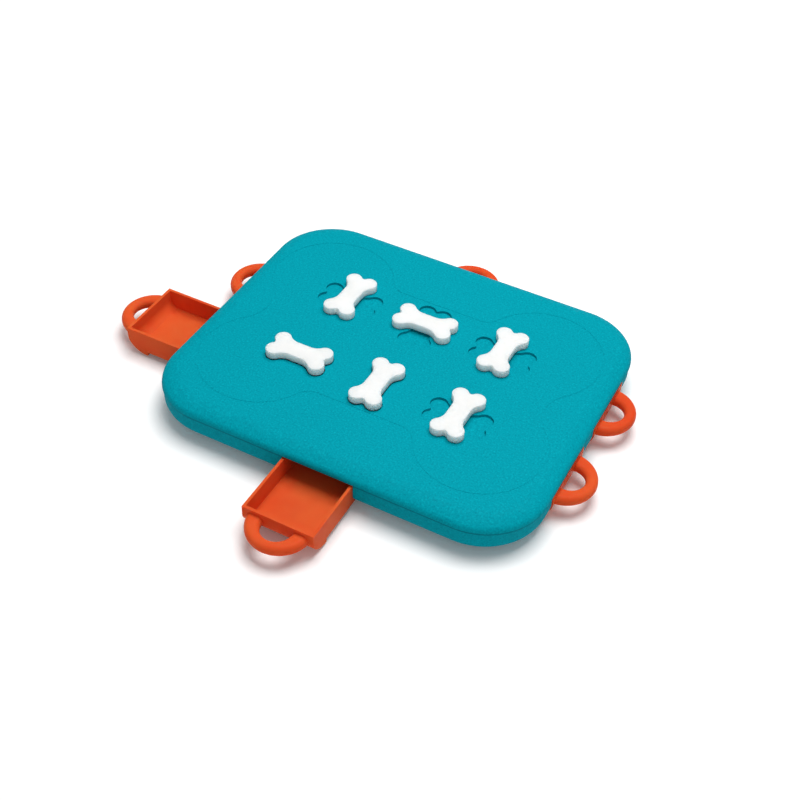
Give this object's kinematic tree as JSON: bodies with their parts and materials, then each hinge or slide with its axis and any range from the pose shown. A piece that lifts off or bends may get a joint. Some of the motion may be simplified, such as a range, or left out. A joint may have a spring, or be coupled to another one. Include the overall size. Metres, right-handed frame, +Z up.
{
  "type": "dog puzzle feeder toy",
  "caption": "Flat rounded board that hides treats in sliding trays, each barred by a bone-shaped turn lock on the lid.",
  "frame": {"origin": "centre of the board on the table, at the underside of the middle foot", "axes": "+Z up, +X along the board's long side towards the side with two shut drawers, -Y towards the single open drawer"},
  "size_m": [0.4306, 0.3726, 0.0432],
  "materials": {
    "teal_shell": "matte, finely speckled",
    "orange_tray": "satin",
    "white_bone": "satin",
    "grey_cam": "satin",
    "screw_steel": "zinc plated",
    "foot_rubber": "matt rubber"
  },
  "bodies": {
    "board": {"lid": "teal_shell", "base": "teal_shell", "case_screws": "screw_steel", "rubber_feet": "foot_rubber"},
    "drawer_left_back": {"drawer_left_back": "orange_tray"},
    "lock_left_back": {"bone_left_back": "white_bone", "lock_cam_left_back": "grey_cam", "cam_screw_left_back": "screw_steel"},
    "drawer_left_front": {"drawer_left_front": "orange_tray"},
    "lock_left_front": {"bone_left_front": "white_bone", "lock_cam_left_front": "grey_cam", "cam_screw_left_front": "screw_steel"},
    "drawer_right_back": {"drawer_right_back": "orange_tray"},
    "lock_right_back": {"bone_right_back": "white_bone", "lock_cam_right_back": "grey_cam", "cam_screw_right_back": "screw_steel"},
    "drawer_right_front": {"drawer_right_front": "orange_tray"},
    "lock_right_front": {"bone_right_front": "white_bone", "lock_cam_right_front": "grey_cam", "cam_screw_right_front": "screw_steel"},
    "drawer_back": {"drawer_back": "orange_tray"},
    "lock_back": {"bone_back": "white_bone", "lock_cam_back": "grey_cam", "cam_screw_back": "screw_steel"},
    "drawer_front": {"drawer_front": "orange_tray"},
    "lock_front": {"bone_front": "white_bone", "lock_cam_front": "grey_cam", "cam_screw_front": "screw_steel"}
  },
  "joints": [
    {"name": "drawer_left_back_slide", "type": "slide", "parent": "board", "child": "drawer_left_back", "axis": [-1, 0, 0], "range_m": [0, 0.055]},
    {"name": "bone_left_back_turn", "type": "hinge", "parent": "board", "child": "lock_left_back", "pos_m": [-0.0708, 0.0418, 0.0363], "axis": [0, 0, 1], "range_deg": [0, 180]},
    {"name": "drawer_left_front_slide", "type": "slide", "parent": "board", "child": "drawer_left_front", "axis": [-1, 0, 0], "range_m": [-0.055, 0]},
    {"name": "bone_left_front_turn", "type": "hinge", "parent": "board", "child": "lock_left_front", "pos_m": [-0.0708, -0.0418, 0.0363], "axis": [0, 0, 1], "range_deg": [-90, 90]},
    {"name": "drawer_right_back_slide", "type": "slide", "parent": "board", "child": "drawer_right_back", "axis": [1, 0, 0], "range_m": [0, 0.055]},
    {"name": "bone_right_back_turn", "type": "hinge", "parent": "board", "child": "lock_right_back", "pos_m": [0.0708, 0.0418, 0.0363], "axis": [0, 0, 1], "range_deg": [0, 180]},
    {"name": "drawer_right_front_slide", "type": "slide", "parent": "board", "child": "drawer_right_front", "axis": [1, 0, 0], "range_m": [0, 0.055]},
    {"name": "bone_right_front_turn", "type": "hinge", "parent": "board", "child": "lock_right_front", "pos_m": [0.0708, -0.0418, 0.0363], "axis": [0, 0, 1], "range_deg": [0, 180]},
    {"name": "drawer_back_slide", "type": "slide", "parent": "board", "child": "drawer_back", "axis": [0, 1, 0], "range_m": [0, 0.055]},
    {"name": "bone_back_turn", "type": "hinge", "parent": "board", "child": "lock_back", "pos_m": [0, 0.0418, 0.0363], "axis": [0, 0, 1], "range_deg": [0, 180]},
    {"name": "drawer_front_slide", "type": "slide", "parent": "board", "child": "drawer_front", "axis": [0, -1, 0], "range_m": [-0.055, 0]},
    {"name": "bone_front_turn", "type": "hinge", "parent": "board", "child": "lock_front", "pos_m": [0, -0.0418, 0.0363], "axis": [0, 0, 1], "range_deg": [-90, 90]}
  ]
}
